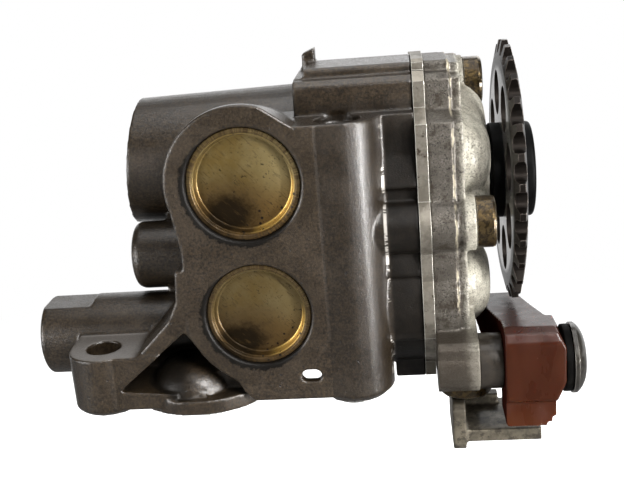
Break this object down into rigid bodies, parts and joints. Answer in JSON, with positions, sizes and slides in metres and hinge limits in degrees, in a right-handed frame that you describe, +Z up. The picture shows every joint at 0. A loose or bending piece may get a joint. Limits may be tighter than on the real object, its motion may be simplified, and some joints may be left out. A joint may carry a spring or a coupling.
{
  "type": "engine oil pump",
  "caption": "Chain-driven gear oil pump with a cast housing, two round core plugs, a relief valve, a bolted alloy cover, a toothed sprocket and a sprung chain tensioner arm.",
  "frame": {"origin": "midway between the two front mounting holes, on the mounting face", "axes": "+X along the drive shaft towards the sprocket, -Y out of the side with the core plugs, +Z up from the mounting face"},
  "size_m": [0.1956, 0.122, 0.1407],
  "materials": {
    "housing_iron": "dark oily casting",
    "plate_steel": "ground",
    "cover_alloy": "die cast",
    "bolt_zinc": "yellow zinc",
    "plug_zinc": "yellow zinc",
    "sprocket_steel": "ground with oily teeth",
    "hub_black": "black satin",
    "ground_steel": "ground",
    "bush_bronze": "plain",
    "spring_steel": "drawn",
    "seal_rubber": "matte",
    "arm_plastic": "red-brown, slightly see-through",
    "washer_black": "satin",
    "pin_steel": "satin",
    "worn_steel": "worn"
  },
  "bodies": {
    "pump": {"pump_housing": "housing_iron", "port_plate": "plate_steel", "front_cover": "cover_alloy", "cover_bolts": "bolt_zinc", "cover_dowels": "ground_steel", "upper_core_plug": "plug_zinc", "lower_core_plug": "plug_zinc", "drive_rear_bush": "bush_bronze", "drive_front_bush": "bush_bronze", "driven_rear_bush": "bush_bronze", "driven_front_bush": "bush_bronze", "relief_spring": "spring_steel", "relief_plug": "ground_steel", "suction_seal": "seal_rubber", "mounting_dowels": "ground_steel", "pivot_pin": "pin_steel", "pivot_sleeve": "worn_steel", "pivot_washer": "washer_black", "tensioner_spring": "spring_steel", "stop_bracket": "worn_steel", "bracket_bolt": "bolt_zinc"},
    "drive": {"drive_shaft": "ground_steel", "drive_gear": "ground_steel", "drive_gear_key": "ground_steel", "drive_sprocket": "sprocket_steel", "sprocket_hub": "hub_black", "hub_collar": "hub_black", "hub_key": "ground_steel"},
    "driven": {"driven_shaft": "ground_steel", "driven_gear": "ground_steel", "driven_gear_key": "ground_steel"},
    "tensioner": {"tensioner_arm": "arm_plastic"},
    "relief": {"relief_piston": "ground_steel"}
  },
  "joints": [
    {"name": "drive_spin", "type": "hinge", "parent": "pump", "child": "drive", "pos_m": [0.0629, 0.0418, 0.068], "axis": [1, 0, 0], "continuous": true},
    {"name": "driven_spin", "type": "hinge", "parent": "pump", "child": "driven", "pos_m": [0.0629, 0.0278, 0.0316], "axis": [1, 0, 0], "continuous": true},
    {"name": "tensioner_swing", "type": "hinge", "parent": "pump", "child": "tensioner", "pos_m": [0.1049, -0.0002, 0.0107], "axis": [1, 0, 0], "range_deg": [-8, 0], "stiffness_Nm_per_rad": 0.5, "springref_deg": 17.19},
    {"name": "relief_slide", "type": "slide", "parent": "pump", "child": "relief", "axis": [-1, 0, 0], "range_m": [0, 0.008], "stiffness_N_per_m": 2000, "springref_m": -0.01, "deforming": ["relief_spring"]}
  ],
  "couplings": [
    {"joint": "driven_spin", "follows": "drive_spin", "ratio": -1}
  ]
}
